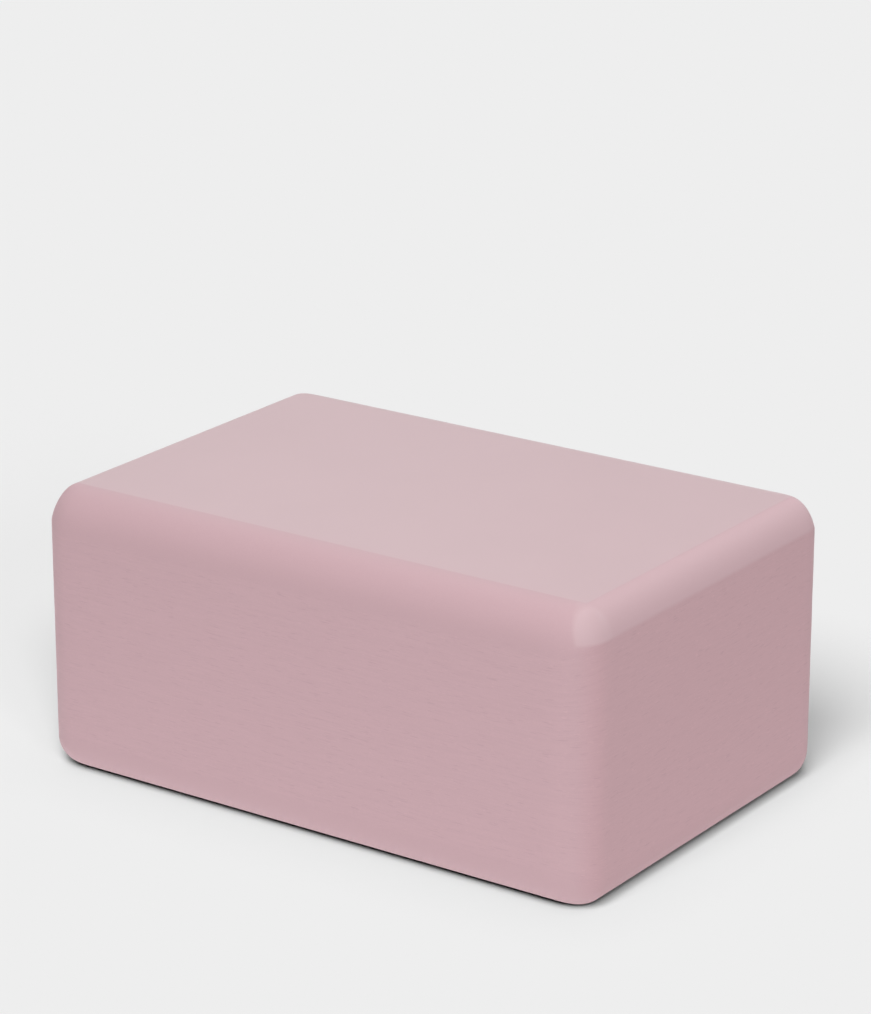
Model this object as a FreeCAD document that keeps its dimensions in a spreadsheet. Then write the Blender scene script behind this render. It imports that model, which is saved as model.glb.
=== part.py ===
import FreeCAD, Part
import os

# Yoga block: one brick of firm closed-cell foam, cut from a thick sheet and rounded on every edge.
# X runs along its length, Y across its width and Z up. The origin is the middle of the broad face it lies on.
# All sizes are in millimetres.

SIZES = {
    "block_length": 222.25,
    "block_width": 152.4,
    "block_height": 101.6,
    # Rounding of the four edges along the length, where the broad faces meet the long sides
    "long_rim_radius": 13.5,
    # Rounding of the four edges across the ends, where the broad faces meet the end faces
    "end_rim_radius": 10.0,
    # Rounding of the four upright edges, where the long sides meet the end faces
    "upright_radius": 14.0,
}


def make_sheet(doc):
    """The driving dimensions, one aliased cell each."""
    sheet = doc.addObject("Spreadsheet::Sheet", "sizes")
    for row, (name, value) in enumerate(SIZES.items(), start=1):
        sheet.set(f"A{row}", name)
        sheet.set(f"B{row}", str(value))
        sheet.setAlias(f"B{row}", name)
    doc.recompute()
    return sheet


def make_blank(doc):
    """The square-edged brick as it is cut from the sheet, standing centred on the origin."""
    blank = doc.addObject("Part::Box", "blank")
    blank.setExpression("Length", "sizes.block_length")
    blank.setExpression("Width", "sizes.block_width")
    blank.setExpression("Height", "sizes.block_height")
    blank.setExpression("Placement.Base.x", "-sizes.block_length / 2")
    blank.setExpression("Placement.Base.y", "-sizes.block_width / 2")
    doc.recompute()
    return blank


def make_foam_block(doc, sheet, blank):
    """The brick with its twelve edges rounded, each by the radius of the direction that it runs in."""
    radius_along = (sheet.long_rim_radius, sheet.end_rim_radius, sheet.upright_radius)
    rounded_edges = []
    for number, edge in enumerate(blank.Shape.Edges, start=1):
        direction = edge.tangentAt(edge.FirstParameter)
        spans = [abs(direction.x), abs(direction.y), abs(direction.z)]
        radius = radius_along[spans.index(max(spans))]
        rounded_edges.append((number, radius, radius))
    block = doc.addObject("Part::Fillet", "rounded_block")
    block.Label = "foam_block"
    block.Base = blank
    block.Edges = rounded_edges
    doc.recompute()
    return block


def check(doc, pieces):
    """Stops before anything is written if an object failed or a piece has no valid shape."""
    for item in doc.Objects:
        if {"Invalid", "Error"} & set(item.State):
            raise RuntimeError(f"{item.Label} failed: {item.State}")
    for piece in pieces:
        if piece.Shape.isNull() or not piece.Shape.isValid():
            raise RuntimeError(f"{piece.Label} has no valid shape")


def main():
    doc = FreeCAD.newDocument("yoga_block")
    sheet = make_sheet(doc)
    pieces = [make_foam_block(doc, sheet, make_blank(doc))]
    check(doc, pieces)
    os.makedirs("parts", exist_ok=True)
    for piece in pieces:
        piece.Shape.exportStep(f"parts/{piece.Label}.step")
        print(f"{piece.Label}: {piece.Shape.Volume:.1f} mm3, {len(piece.Shape.Faces)} faces")


main()
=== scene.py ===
import math
from collections import namedtuple

import bpy
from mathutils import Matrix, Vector, noise


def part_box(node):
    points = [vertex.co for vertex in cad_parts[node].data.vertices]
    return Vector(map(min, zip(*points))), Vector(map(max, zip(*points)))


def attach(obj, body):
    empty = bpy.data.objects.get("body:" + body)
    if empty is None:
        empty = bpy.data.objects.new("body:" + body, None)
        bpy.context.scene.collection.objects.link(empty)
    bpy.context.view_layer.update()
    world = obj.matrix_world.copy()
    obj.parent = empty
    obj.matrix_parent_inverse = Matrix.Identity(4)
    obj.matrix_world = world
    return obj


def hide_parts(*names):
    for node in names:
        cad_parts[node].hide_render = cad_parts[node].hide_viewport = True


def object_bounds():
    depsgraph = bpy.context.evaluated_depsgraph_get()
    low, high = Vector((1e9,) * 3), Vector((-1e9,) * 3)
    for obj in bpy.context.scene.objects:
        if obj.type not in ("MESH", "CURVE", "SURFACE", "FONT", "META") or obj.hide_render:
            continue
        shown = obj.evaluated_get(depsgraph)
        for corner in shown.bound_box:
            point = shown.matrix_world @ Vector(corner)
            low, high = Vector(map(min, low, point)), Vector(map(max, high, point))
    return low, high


# Yoga block: one brick of firm closed-cell foam. Its broad faces keep the smooth skin of the foam sheet.
# Its sides and its rounded edges are cut and sanded, which leaves short flecks along the sides.
# Lengths are in metres in the frame of the CAD model: X along the block, Y away from the viewer, Z up.

MM = 0.001

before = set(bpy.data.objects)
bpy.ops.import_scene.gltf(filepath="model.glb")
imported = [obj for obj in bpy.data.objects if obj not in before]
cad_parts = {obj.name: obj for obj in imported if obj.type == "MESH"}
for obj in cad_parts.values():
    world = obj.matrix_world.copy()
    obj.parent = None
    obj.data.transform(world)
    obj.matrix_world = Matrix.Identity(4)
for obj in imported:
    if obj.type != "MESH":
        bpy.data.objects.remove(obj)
cad_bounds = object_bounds()

# Rounding of the block. A rim is an arc through the sweep that reaches inset inwards and drop downwards.
Rim = namedtuple("Rim", "inset drop sweep")
UPRIGHT_RADIUS = 14.0 * MM
LONG_RIM = Rim(13.5 * MM, 13.5 * MM, math.radians(90))
# The upper rim of an end is an elliptical arc that stops short of the end face and meets it in a faint edge.
UPPER_END_RIM = Rim(8.7 * MM, 10.4 * MM, math.radians(62))
LOWER_END_RIM = Rim(9.4 * MM, 9.4 * MM, math.radians(90))

# Mesh steps. A grid covers the flat of a skin: how far it reaches from the middle, and its columns and rows.
Grid = namedtuple("Grid", "reach_x reach_y columns rows")
STREAK_STEP = 0.45 * MM
RIM_STEPS = 24
RUN_STEP = 2.4 * MM
CORNER_STEPS = 18

# Relief of the cut sides: streaks left by the blade and the sander, fainter on the rims
STREAK_DEPTH = 0.02 * MM
STREAK_LENGTH = 9.0 * MM
STREAK_WIDTH = 1.1 * MM
WAVE_DEPTH = 0.04 * MM
WAVE_LENGTH = 55.0 * MM
WAVE_WIDTH = 9.0 * MM
RIM_RELIEF = 0.3

# How far in from each side the skin ends. On the back and left rims its paler colour, a painted sheen,
# runs on over the shoulder together with the skin's smoother finish.
SKIN_EDGE_FRONT = 14.1 * MM
SKIN_SHEEN_EDGE_BACK = 7.5 * MM
SKIN_EDGE_RIGHT = 8.7 * MM
SKIN_SHEEN_EDGE_LEFT = 3.4 * MM
SKIN_EDGE_BLUR = 0.4 * MM

# The ends are painted a little pinker, to take off some of the whitish sheen that shows on them, and their
# upper rims paler, which is a painted sheen. Where these tones fade is measured in from the end for the
# ends, and in from the long sides for the rims.
END_FADE_START = 5.0 * MM
END_FADE_STOP = 0.5 * MM
END_RIM_FADE_START = 14.0 * MM
END_RIM_FADE_STOP = 6.0 * MM
END_RIM_BLUR = 0.6 * MM

# A pale patch on the near upper corner, which faces this far round from the front: a painted highlight,
# on a finish that is a little smoother there. Its middle and reach are measured along the corner from the
# upright's axis, and down from the broad face. Its edge is given in squared shares of the reach, and its
# fade towards the end face in shares of the reach along.
SPOT_TURN = math.radians(62)
SPOT_ALONG = 1.3 * MM
SPOT_REACH_ALONG = 7.0 * MM
SPOT_DOWN = 8.5 * MM
SPOT_REACH_DOWN = 8.3 * MM
SPOT_FOOT = 10.4 * MM
SPOT_FOOT_BLUR = 0.5 * MM
SPOT_DEPTH = 2.5 * MM
SPOT_DEPTH_BLUR = 0.5 * MM
SPOT_EDGE_START = 0.82
SPOT_EDGE_STOP = 1.16
SPOT_FADE_START = -0.2
SPOT_FADE_STOP = 0.9
SPOT_FADED = 0.3

# Marks on the cut sides, and the size of the foam's cells and of the clouds in its skin
Mark = namedtuple("Mark", "length width")
SCRATCH = Mark(5.0 * MM, 0.4 * MM)
FLECK = Mark(2.0 * MM, 0.45 * MM)
BRUSH_MARK = Mark(14.0 * MM, 0.6 * MM)
RIM_MARKS = 0.15
RIM_MARKS_BLUR = 2.0 * MM
CELL_SIZE = 0.45 * MM
CLOUD_SIZE = 35.0 * MM

# Colours and finish
CUT_COLOUR = (0.545, 0.365, 0.395)
# Pinker tone painted on the ends to take off some of the whitish sheen they show
END_SHEEN_OFFSET_TINT = (1.03, 0.985, 0.985)
# Painted sheen on the upper rims of the ends
END_RIM_SHEEN_COLOUR = (0.549, 0.374, 0.402)
# Painted highlight on the near upper corner
SPOT_HIGHLIGHT_COLOUR = (0.577, 0.411, 0.437)
SKIN_COLOUR = (0.529, 0.375, 0.397)
GRAIN_TONE = 0.03
CLOUD_TONE = 0.01
SCRATCH_TONE = 0.92
FLECK_TONE = 1.07
CUT_ROUGHNESS = 0.6
SKIN_ROUGHNESS = 0.35
CUT_BUMP = 0.25
SKIN_BUMP = 0.05
BUMP_HEIGHT = 0.12 * MM

# Photograph's camera
IMAGE_WIDTH = 871
IMAGE_HEIGHT = 1014
FOCAL_PIXELS = 3852.994
CAMERA_AZIMUTH = math.radians(35.012)
CAMERA_ELEVATION = math.radians(18.897)
CAMERA_DISTANCE = 1302.731 * MM
CAMERA_TARGET = Vector((1.524 * MM, 0, 96.026 * MM))
SENSOR = 36.0

# Studio
BACKGROUND = 0.855
FLOOR_REACH = 6.0
LAMP_TARGET = (0, 0, 50 * MM)


class Station:
    """One place on the block's plan outline, with the rim that passes there.

    Its anchor is the axis of an upright edge's curve, or lies in line with two of them. The lines between the
    axes bound the grid of the flat skin, and the cell is the anchor's column and row in that grid.
    """

    def __init__(self, anchor, angle, cell=(0, 0)):
        self.anchor = anchor
        self.cell = cell
        self.outward = Vector((math.cos(angle), math.sin(angle)))

    def rim(self, end_rim):
        """The rim here, between that of an end and that of a long side."""
        end_share = abs(self.outward.x)
        long_share = abs(self.outward.y)
        inset = math.hypot(end_rim.inset * end_share, LONG_RIM.inset * long_share)
        drop = math.hypot(end_rim.drop * end_share, LONG_RIM.drop * long_share)
        sweep = LONG_RIM.sweep + (end_rim.sweep - LONG_RIM.sweep) * end_share**2
        return Rim(inset, drop, sweep)

    def at(self, inset, height):
        """The point that lies inset inwards from the outline, at that height."""
        flat = self.anchor + self.outward * (UPRIGHT_RADIUS - inset)
        return Vector((flat.x, flat.y, height))


def grid_place(grid, column, row):
    """Where a column and a row of the flat skin's grid cross."""
    return Vector((grid.reach_x * (2 * column / grid.columns - 1), grid.reach_y * (2 * row / grid.rows - 1)))


def plan_outline(grid):
    """Stations round the block, anticlockwise from the middle of the right front corner."""
    corners = [(grid.columns, 0), (grid.columns, grid.rows), (0, grid.rows), (0, 0)]
    turn_steps = CORNER_STEPS // 2
    half_turn = math.radians(45)
    stations = []

    def add(column, row, angle):
        stations.append(Station(grid_place(grid, column, row), angle, (column, row)))

    for number, (column, row) in enumerate(corners):
        facing = math.radians(90) * number
        next_column, next_row = corners[(number + 1) % 4]
        run_steps = max(abs(next_column - column), abs(next_row - row))
        step_column = (next_column - column) // run_steps
        step_row = (next_row - row) // run_steps
        for i in range(turn_steps):
            add(column, row, facing - half_turn * (1 - i / turn_steps))
        for i in range(run_steps + 1):
            add(column + step_column * i, row + step_row * i, facing)
        for i in range(1, turn_steps):
            add(next_column, next_row, facing + half_turn * i / turn_steps)
    return stations


def rim_arc(rim):
    """(inset, depth) of each step down a rim from its broad face."""
    across = rim.inset / math.sin(rim.sweep)
    down = rim.drop / (1 - math.cos(rim.sweep))
    turns = [rim.sweep * step / RIM_STEPS for step in range(RIM_STEPS + 1)]
    return [(rim.inset - across * math.sin(turn), down * (1 - math.cos(turn))) for turn in turns]


def side_profile(station, height):
    """(inset, height) of each ring's point at a station, from the upper skin down to the lower."""
    upper = station.rim(UPPER_END_RIM)
    lower = station.rim(LOWER_END_RIM)
    side_steps = 2 * round((height / 2 - LONG_RIM.drop) / STREAK_STEP)
    top = height - upper.drop
    side = [(0.0, top + (lower.drop - top) * step / side_steps) for step in range(1, side_steps)]
    upper_arc = [(inset, height - depth) for inset, depth in rim_arc(upper)]
    return upper_arc + side + rim_arc(lower)[::-1]


def ring_places(height):
    """How far each ring lies from the mid-height, measured along the profile of a long side."""
    points = side_profile(Station(Vector((0, 0)), math.radians(90)), height)
    lengths = [0.0]
    for (inset, level), (next_inset, next_level) in zip(points, points[1:]):
        lengths.append(lengths[-1] + math.hypot(next_inset - inset, next_level - level))
    return [lengths[-1] / 2 - length for length in lengths]


def streak_relief(point, across, side_reach):
    """How far the cut surface stands out at a point, given its length along the profile."""
    fine = noise.noise((point.x / STREAK_LENGTH, point.y / STREAK_LENGTH, across / STREAK_WIDTH))
    wave = noise.noise((point.x / WAVE_LENGTH, point.y / WAVE_LENGTH, across / WAVE_WIDTH))
    share = 1.0 if abs(across) < side_reach else RIM_RELIEF
    return share * (STREAK_DEPTH * fine + WAVE_DEPTH * wave)


def skin_faces(stations, ring_start, grid_start, grid):
    """Faces of a flat skin seen from above: its grid, and the band between the grid and the rim's ring."""

    def number(column, row):
        return grid_start + row * (grid.columns + 1) + column

    faces = []
    for row in range(grid.rows):
        for column in range(grid.columns):
            faces.append([number(column, row), number(column + 1, row), number(column + 1, row + 1),
                          number(column, row + 1)])
    for i, station in enumerate(stations):
        after = (i + 1) % len(stations)
        inner = number(*station.cell)
        inner_after = number(*stations[after].cell)
        band = [ring_start + i, ring_start + after, inner_after]
        if inner_after != inner:
            band.append(inner)
        faces.append(band)
    return faces


def side_faces(rings, total):
    """Faces between the rings of a side, each ring with that total of points."""
    faces = []
    for ring in range(rings - 1):
        upper = ring * total
        lower = upper + total
        for i in range(total):
            after = (i + 1) % total
            faces.append([upper + i, lower + i, lower + after, upper + after])
    return faces


def side_vertices(stations, places, height):
    """The points of all rings, from the upper skin to the lower, with the streaks in relief in between."""
    profiles = [side_profile(station, height) for station in stations]
    side_reach = height / 2 - LONG_RIM.drop
    last = len(places) - 1
    vertices = []
    for ring, place in enumerate(places):
        for station, profile in zip(stations, profiles):
            inset, level = profile[ring]
            relief = 0.0
            if 0 < ring < last:
                relief = streak_relief(station.at(inset, level), place, side_reach)
            vertices.append(station.at(inset - relief, level))
    return vertices


def make_block():
    """The foam block as one closed mesh, with fine streaks in relief on its cut surfaces."""
    low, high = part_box("foam_block")
    height = high.z - low.z
    reach_x = (high.x - low.x) / 2 - UPRIGHT_RADIUS
    reach_y = (high.y - low.y) / 2 - UPRIGHT_RADIUS
    grid = Grid(reach_x, reach_y, round(2 * reach_x / RUN_STEP), round(2 * reach_y / RUN_STEP))
    stations = plan_outline(grid)
    total = len(stations)
    places = ring_places(height)
    last = len(places) - 1
    vertices = side_vertices(stations, places, height)
    across = [place for place in places for _ in stations]
    faces = side_faces(len(places), total)
    for ring, level in ((0, height), (last, 0.0)):
        skin = skin_faces(stations, ring * total, len(vertices), grid)
        faces += skin if ring == 0 else [face[::-1] for face in skin]
        for row in range(grid.rows + 1):
            for column in range(grid.columns + 1):
                vertices.append(Vector((*grid_place(grid, column, row), level)))
                across.append(places[ring])
    mesh = bpy.data.meshes.new("foam_block")
    mesh.from_pydata(vertices, [], faces)
    mesh.shade_smooth()
    mesh.attributes.new("across", "FLOAT", "POINT").data.foreach_set("value", across)
    block = bpy.data.objects.new("yoga_block_foam", mesh)
    bpy.context.scene.collection.objects.link(block)
    return block


class Nodes:
    """A material's node tree, with short ways to add and join nodes."""

    def __init__(self, name):
        self.material = bpy.data.materials.new(name)
        self.material.use_nodes = True
        self.tree = self.material.node_tree
        self.shader = self.tree.nodes["Principled BSDF"]

    def add(self, kind, inputs=None, **settings):
        node = self.tree.nodes.new(kind)
        for name, value in settings.items():
            setattr(node, name, value)
        for name, value in (inputs or {}).items():
            self.put(node.inputs[name], value)
        return node

    def put(self, socket, value):
        if isinstance(value, bpy.types.NodeSocket):
            self.tree.links.new(value, socket)
        else:
            socket.default_value = value

    def math(self, operation, first, second=0.0):
        return self.add("ShaderNodeMath", {0: first, 1: second}, operation=operation).outputs[0]

    def ramp(self, value, low, high, to_low=0.0, to_high=1.0):
        inputs = {"Value": value, "From Min": low, "From Max": high, "To Min": to_low, "To Max": to_high}
        return self.add("ShaderNodeMapRange", inputs).outputs["Result"]

    def noise(self, vector, scale, detail=2.0, roughness=0.5):
        inputs = {"Vector": vector, "Scale": scale, "Detail": detail, "Roughness": roughness}
        return self.add("ShaderNodeTexNoise", inputs).outputs["Fac"]

    def product(self, values):
        result = 1.0
        for value in values:
            result = self.math("MULTIPLY", value, result)
        return result

    def mix(self, share, first, second, blend="MIX"):
        # Sockets go by number, as the node has several of each name: the share, two colours and their mix
        node = self.add("ShaderNodeMix", data_type="RGBA", blend_type=blend)
        self.put(node.inputs[0], share)
        self.put(node.inputs[6], first)
        self.put(node.inputs[7], second)
        return node.outputs[2]


def skin_and_sheen_mask(n, place, size):
    """1 on the flat of a broad face, which keeps its skin, and over the shoulders of the back and left rims,
    where the skin's paler colour is a painted sheen.
    """
    xyz = n.add("ShaderNodeSeparateXYZ", {"Vector": place})
    x = xyz.outputs["X"]
    y = xyz.outputs["Y"]
    insides = [
        n.math("ADD", x, size.x / 2 - SKIN_SHEEN_EDGE_LEFT),
        n.math("SUBTRACT", size.x / 2 - SKIN_EDGE_RIGHT, x),
        n.math("ADD", y, size.y / 2 - SKIN_EDGE_FRONT),
        n.math("SUBTRACT", size.y / 2 - SKIN_SHEEN_EDGE_BACK, y),
    ]
    return n.product([n.ramp(inside, -SKIN_EDGE_BLUR, SKIN_EDGE_BLUR) for inside in insides])


def end_rim_sheen_mask(n, place, size):
    """1 on the upper rims of the ends, as far as the corners, where a paler colour is painted on as sheen."""
    folded = n.add("ShaderNodeVectorMath", {0: place}, operation="ABSOLUTE").outputs["Vector"]
    xyz = n.add("ShaderNodeSeparateXYZ", {"Vector": folded})
    skin_edge = size.x / 2 - SKIN_EDGE_RIGHT
    foot = size.z - UPPER_END_RIM.drop
    fade_start = size.y / 2 - END_RIM_FADE_START
    fade_stop = size.y / 2 - END_RIM_FADE_STOP
    past_skin = n.ramp(xyz.outputs["X"], skin_edge - END_RIM_BLUR, skin_edge + END_RIM_BLUR)
    over_foot = n.ramp(xyz.outputs["Z"], foot - END_RIM_BLUR, foot + END_RIM_BLUR)
    short_of_corner = n.ramp(xyz.outputs["Y"], fade_start, fade_stop, 1.0, 0.0)
    return n.product([past_skin, over_foot, short_of_corner])


def end_sheen_offset_mask(n, place, size):
    """1 on the ends, where a pinker tone is painted to take off some of their sheen."""
    x = n.add("ShaderNodeSeparateXYZ", {"Vector": place}).outputs["X"]
    return n.ramp(n.math("ABSOLUTE", x), size.x / 2 - END_FADE_START, size.x / 2 - END_FADE_STOP)


def highlight_patch_mask(n, place, size):
    """How much of the painted highlight on the near corner shows: an oval that is cut off at its foot and
    fades towards the end face.
    """
    corner = Vector((size.x / 2 - UPRIGHT_RADIUS, UPRIGHT_RADIUS - size.y / 2, size.z))
    offset = n.add("ShaderNodeVectorMath", {0: place, 1: corner}, operation="SUBTRACT").outputs["Vector"]

    def measure(x, y, z):
        node = n.add("ShaderNodeVectorMath", {0: offset, 1: (x, y, z)}, operation="DOT_PRODUCT")
        return node.outputs["Value"]

    facing = measure(math.sin(SPOT_TURN), -math.cos(SPOT_TURN), 0)
    sideways = measure(math.cos(SPOT_TURN), math.sin(SPOT_TURN), 0)
    downwards = measure(0, 0, -1)
    along = n.math("DIVIDE", n.math("SUBTRACT", sideways, SPOT_ALONG), SPOT_REACH_ALONG)
    down = n.math("DIVIDE", n.math("SUBTRACT", downwards, SPOT_DOWN), SPOT_REACH_DOWN)
    squares = n.math("ADD", n.math("MULTIPLY", along, along), n.math("MULTIPLY", down, down))
    oval = n.ramp(squares, SPOT_EDGE_START, SPOT_EDGE_STOP, 1.0, 0.0)
    over_foot = n.ramp(downwards, SPOT_FOOT - SPOT_FOOT_BLUR, SPOT_FOOT + SPOT_FOOT_BLUR, 1.0, 0.0)
    near = n.ramp(facing, SPOT_DEPTH - SPOT_DEPTH_BLUR, SPOT_DEPTH + SPOT_DEPTH_BLUR)
    fade = n.ramp(along, SPOT_FADE_START, SPOT_FADE_STOP, 1.0, SPOT_FADED)
    return n.product([oval, over_foot, near, fade])


def marks(n, place, profile, mark):
    """Noise that is drawn out along the block's sides, about as long and as wide as the mark."""
    xyz = n.add("ShaderNodeSeparateXYZ", {"Vector": place})
    inputs = {
        "X": n.math("DIVIDE", xyz.outputs["X"], mark.length),
        "Y": n.math("DIVIDE", xyz.outputs["Y"], mark.length),
        "Z": n.math("DIVIDE", profile, mark.width),
    }
    return n.noise(n.add("ShaderNodeCombineXYZ", inputs).outputs["Vector"], 1.0, 1.0)


def tint(colour, factor=1.0):
    """A colour with its alpha, made lighter or darker by the factor."""
    return [part * factor for part in colour] + [1.0]


def foam_material(size):
    """Dusty pink foam: matt with sparse flecks where it is cut, with a soft sheen where it has its skin."""
    n = Nodes("foam")
    place = n.add("ShaderNodeTexCoord").outputs["Object"]
    profile = n.add("ShaderNodeAttribute", attribute_name="across").outputs["Fac"]
    skin = skin_and_sheen_mask(n, place, size)
    highlight_patch = highlight_patch_mask(n, place, size)
    side_reach = size.z / 2 - LONG_RIM.drop
    blur_start = side_reach - RIM_MARKS_BLUR
    blur_stop = side_reach + RIM_MARKS_BLUR
    side = n.ramp(n.math("ABSOLUTE", profile), blur_start, blur_stop, 1.0, RIM_MARKS)

    cells = n.noise(place, 1 / CELL_SIZE, 3.0, 0.6)
    cloud = n.noise(place, 1 / CLOUD_SIZE, 2.0)
    scratches = n.math("MULTIPLY", n.ramp(marks(n, place, profile, SCRATCH), 0.62, 0.74), side)
    flecks = n.math("MULTIPLY", n.ramp(marks(n, place, profile, FLECK), 0.66, 0.76), side)
    brushed = n.math("MULTIPLY", marks(n, place, profile, BRUSH_MARK), side)

    grain = n.math("ADD", n.ramp(cells, 0.3, 0.7, -0.5, 0.5), n.ramp(brushed, 0.3, 0.7, -0.5, 0.5))
    cut = n.mix(n.ramp(grain, -1.0, 1.0), tint(CUT_COLOUR, 1 - GRAIN_TONE), tint(CUT_COLOUR, 1 + GRAIN_TONE))
    cut = n.mix(scratches, cut, tint(CUT_COLOUR, SCRATCH_TONE))
    cut = n.mix(flecks, cut, tint(CUT_COLOUR, FLECK_TONE))
    # Painted on the ends: a pinker tone that takes off some of their sheen
    cut = n.mix(end_sheen_offset_mask(n, place, size), cut, tint(END_SHEEN_OFFSET_TINT), "MULTIPLY")
    # Painted sheen on the upper rims of the ends
    cut = n.mix(end_rim_sheen_mask(n, place, size), cut, tint(END_RIM_SHEEN_COLOUR))
    # Painted highlight on the near upper corner
    cut = n.mix(highlight_patch, cut, tint(SPOT_HIGHLIGHT_COLOUR))
    clouded = n.ramp(cloud, 0.3, 0.7)
    smooth = n.mix(clouded, tint(SKIN_COLOUR, 1 - CLOUD_TONE), tint(SKIN_COLOUR, 1 + CLOUD_TONE))
    # On the shoulders of the back and left rims the skin's paler colour is a painted sheen
    n.put(n.shader.inputs["Base Color"], n.mix(skin, cut, smooth))

    # Under the painted highlight the corner is halfway between the cut foam and the skin in its finish
    finish = n.math("MAXIMUM", skin, n.math("MULTIPLY", highlight_patch, 0.5))
    n.put(n.shader.inputs["Roughness"], n.ramp(finish, 0.0, 1.0, CUT_ROUGHNESS, SKIN_ROUGHNESS))
    height = n.math("SUBTRACT", n.math("MULTIPLY", cells, 0.5), n.math("MULTIPLY", scratches, 0.5))
    strength = n.ramp(finish, 0.0, 1.0, CUT_BUMP, SKIN_BUMP)
    bump = n.add("ShaderNodeBump", {"Strength": strength, "Distance": BUMP_HEIGHT, "Height": height})
    n.put(n.shader.inputs["Normal"], bump.outputs["Normal"])
    n.put(n.shader.inputs["Specular IOR Level"], 0.5)
    return n.material


def make_floor():
    """A plain pale floor, much wider than any view of it."""
    corners = [(-FLOOR_REACH, -FLOOR_REACH, 0), (FLOOR_REACH, -FLOOR_REACH, 0),
               (FLOOR_REACH, FLOOR_REACH, 0), (-FLOOR_REACH, FLOOR_REACH, 0)]
    mesh = bpy.data.meshes.new("floor")
    mesh.from_pydata(corners, [], [(0, 1, 2, 3)])
    floor = bpy.data.objects.new("floor", mesh)
    bpy.context.scene.collection.objects.link(floor)
    n = Nodes("floor")
    n.put(n.shader.inputs["Base Color"], (BACKGROUND, BACKGROUND, BACKGROUND, 1))
    n.put(n.shader.inputs["Roughness"], 1.0)
    n.put(n.shader.inputs["Specular IOR Level"], 0.0)
    mesh.materials.append(n.material)
    # What the floor throws back at the block is left to the glow lamp
    floor.visible_diffuse = False
    return floor


def make_world():
    """A plain pale backdrop for the camera and for reflections. It gives no other light."""
    world = bpy.data.worlds.new("studio")
    bpy.context.scene.world = world
    world.use_nodes = True
    tree = world.node_tree
    path = tree.nodes.new("ShaderNodeLightPath")
    seen = path.outputs["Is Camera Ray"]
    for kind in ("Is Glossy Ray", "Is Transmission Ray"):
        either = tree.nodes.new("ShaderNodeMath")
        either.operation = "MAXIMUM"
        tree.links.new(seen, either.inputs[0])
        tree.links.new(path.outputs[kind], either.inputs[1])
        seen = either.outputs[0]
    backdrop = tree.nodes["Background"]
    backdrop.inputs["Color"].default_value = (BACKGROUND, BACKGROUND, BACKGROUND, 1)
    tree.links.new(seen, backdrop.inputs["Strength"])


def bearing(azimuth, elevation):
    """The direction from the block that lies this far round to the right from the front, and this far up."""
    level = math.cos(elevation)
    return Vector((math.sin(azimuth) * level, -math.cos(azimuth) * level, math.sin(elevation)))


def place_lamp(lamp, place, target, receiver):
    """Hangs a lamp that faces its target and lights only the receiver. Reflections don't show it."""
    holder = bpy.data.objects.new(lamp.name, lamp)
    holder.location = place
    holder.rotation_euler = (Vector(target) - Vector(place)).to_track_quat("-Z", "Y").to_euler()
    holder.visible_glossy = False
    lit = bpy.data.collections.new(lamp.name + "_lights")
    lit.objects.link(receiver)
    holder.light_linking.receiver_collection = lit
    bpy.context.scene.collection.objects.link(holder)
    return holder


def make_softbox(name, place, width, height, power, receiver, target=LAMP_TARGET):
    """A plain rectangular lamp."""
    lamp = bpy.data.lights.new(name, "AREA")
    lamp.shape = "RECTANGLE"
    lamp.size = width
    lamp.size_y = height
    lamp.energy = power
    return place_lamp(lamp, place, target, receiver)


def make_sun(name, side, spread, strength, receiver):
    """A far lamp as wide as its spread, which lights all of its receiver alike."""
    lamp = bpy.data.lights.new(name, "SUN")
    lamp.angle = spread
    lamp.energy = strength
    lamp.cycles.use_multiple_importance_sampling = False
    place_lamp(lamp, side, (0, 0, 0), receiver)
    return lamp


def make_fill(name, side, spread, strength, receiver):
    """A sun that the floor lets through. The block is convex, so that nothing on it can shade the rest."""
    lamp = make_sun(name, side, spread, strength, receiver)
    lamp.use_shadow = False


def make_dome(name, side, level, receiver):
    """The even light of a white tent's half."""
    make_fill(name, side, math.pi, math.pi * level, receiver)


def light_floor(name, azimuth, elevation, spread, share, floor):
    """A sun with its share of the light that makes the floor as pale as the backdrop. Angles in degrees."""
    side = bearing(math.radians(azimuth), math.radians(elevation))
    make_sun(name, side, math.radians(spread), share * math.pi / side.z, floor)


def make_glow(name, place, width, depth, power, receiver):
    """The light that a pale floor throws back up at the foot of the receiver."""
    above = Vector(place) + Vector((0, 0, 1))
    glow = make_softbox(name, place, width, depth, power, receiver, target=above)
    glow.visible_camera = False


def make_sheen(name, place, width, height, power, receiver):
    """A softbox that shows in reflections only."""
    sheen = make_softbox(name, place, width, height, power, receiver)
    sheen.visible_glossy = True
    sheen.visible_diffuse = False


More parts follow.
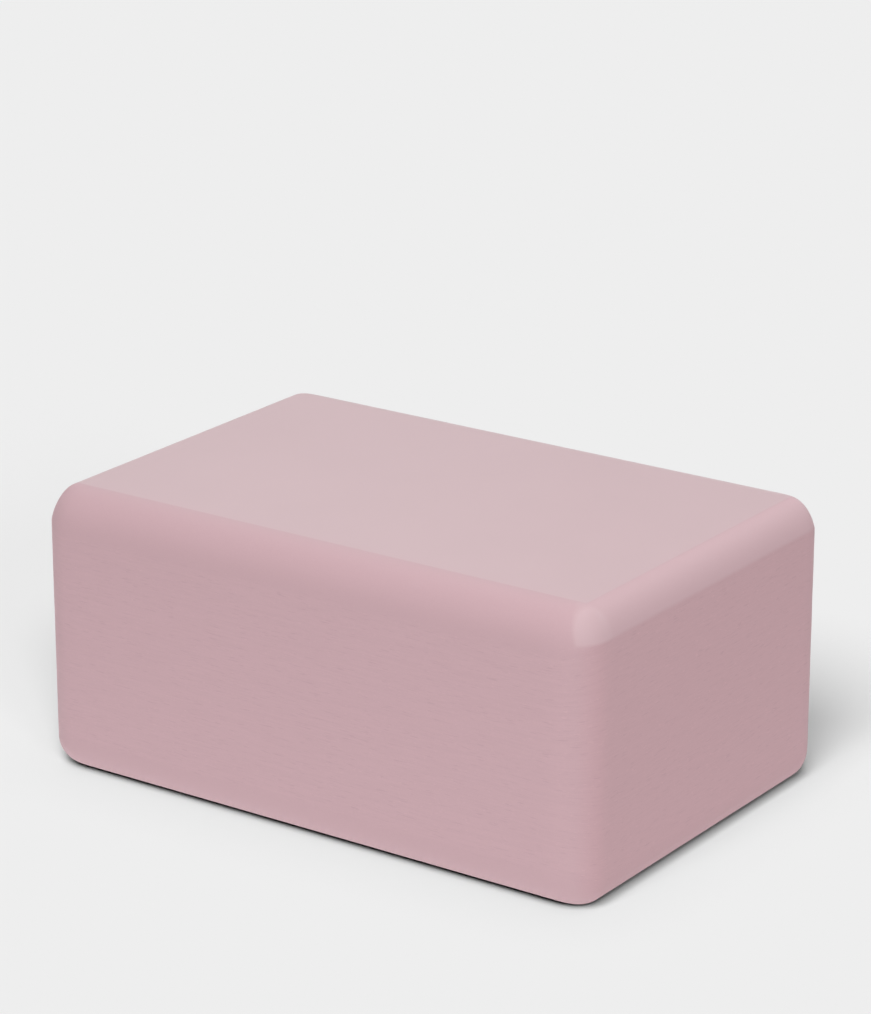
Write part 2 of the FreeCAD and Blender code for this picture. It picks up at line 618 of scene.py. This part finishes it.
def make_lights(block, floor):
    """The block's studio and the floor's own lamps.

    The block stands in a white tent that is brightest low in front, with a key from the right front, a fill
    for the far sides, a softbox overhead and two that show only as sheen. The suns on the floor shape the
    block's shadow there.
    """
    tent_front = Vector((-0.02, -0.84, -0.54))
    make_dome("tent_front", tent_front, level=0.785, receiver=block)
    make_dome("tent_back", -tent_front, level=0.295, receiver=block)
    make_softbox("key", (0.57, -0.54, 0.59), width=0.5, height=0.5, power=1.75, receiver=block)
    make_fill("far_sides", (-1.0, 1.0, -0.35), spread=math.radians(20), strength=2.0, receiver=block)
    make_softbox("overhead", (0.15, 0.05, 1.5), width=1.3, height=1.3, power=13.6, receiver=block)
    make_glow("floor_glow", (0.05, -0.04, 0.5 * MM), width=0.5, depth=0.42, power=0.19, receiver=block)
    make_sheen("sheen_right", (0.6, 1.4, 0.8), width=2.2, height=0.9, power=11.8, receiver=block)
    make_sheen("sheen_left", (-0.95, 0.85, 1.2), width=0.8, height=0.8, power=2.7, receiver=block)
    light_floor("floor_front", azimuth=17, elevation=50, spread=34, share=0.63, floor=floor)
    light_floor("floor_right", azimuth=40, elevation=37, spread=16, share=0.25, floor=floor)
    light_floor("floor_low", azimuth=58, elevation=22, spread=12, share=0.04, floor=floor)
    light_floor("floor_above", azimuth=0, elevation=90, spread=36, share=0.08, floor=floor)


def make_camera():
    """The photograph's viewpoint."""
    data = bpy.data.cameras.new("camera")
    data.sensor_width = SENSOR
    data.lens = FOCAL_PIXELS * SENSOR / max(IMAGE_WIDTH, IMAGE_HEIGHT)
    camera = bpy.data.objects.new("camera", data)
    back = bearing(CAMERA_AZIMUTH, CAMERA_ELEVATION)
    camera.location = CAMERA_TARGET + back * CAMERA_DISTANCE
    camera.rotation_euler = (-back).to_track_quat("-Z", "Y").to_euler()
    bpy.context.scene.collection.objects.link(camera)
    bpy.context.scene.camera = camera


block = make_block()
block.data.materials.append(foam_material(cad_bounds[1] - cad_bounds[0]))
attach(block, "root")
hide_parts("foam_block")
# The block throws no pink light on the floor
block.visible_diffuse = False

make_world()
make_lights(block, make_floor())
make_camera()
bpy.context.scene.view_settings.view_transform = "Standard"
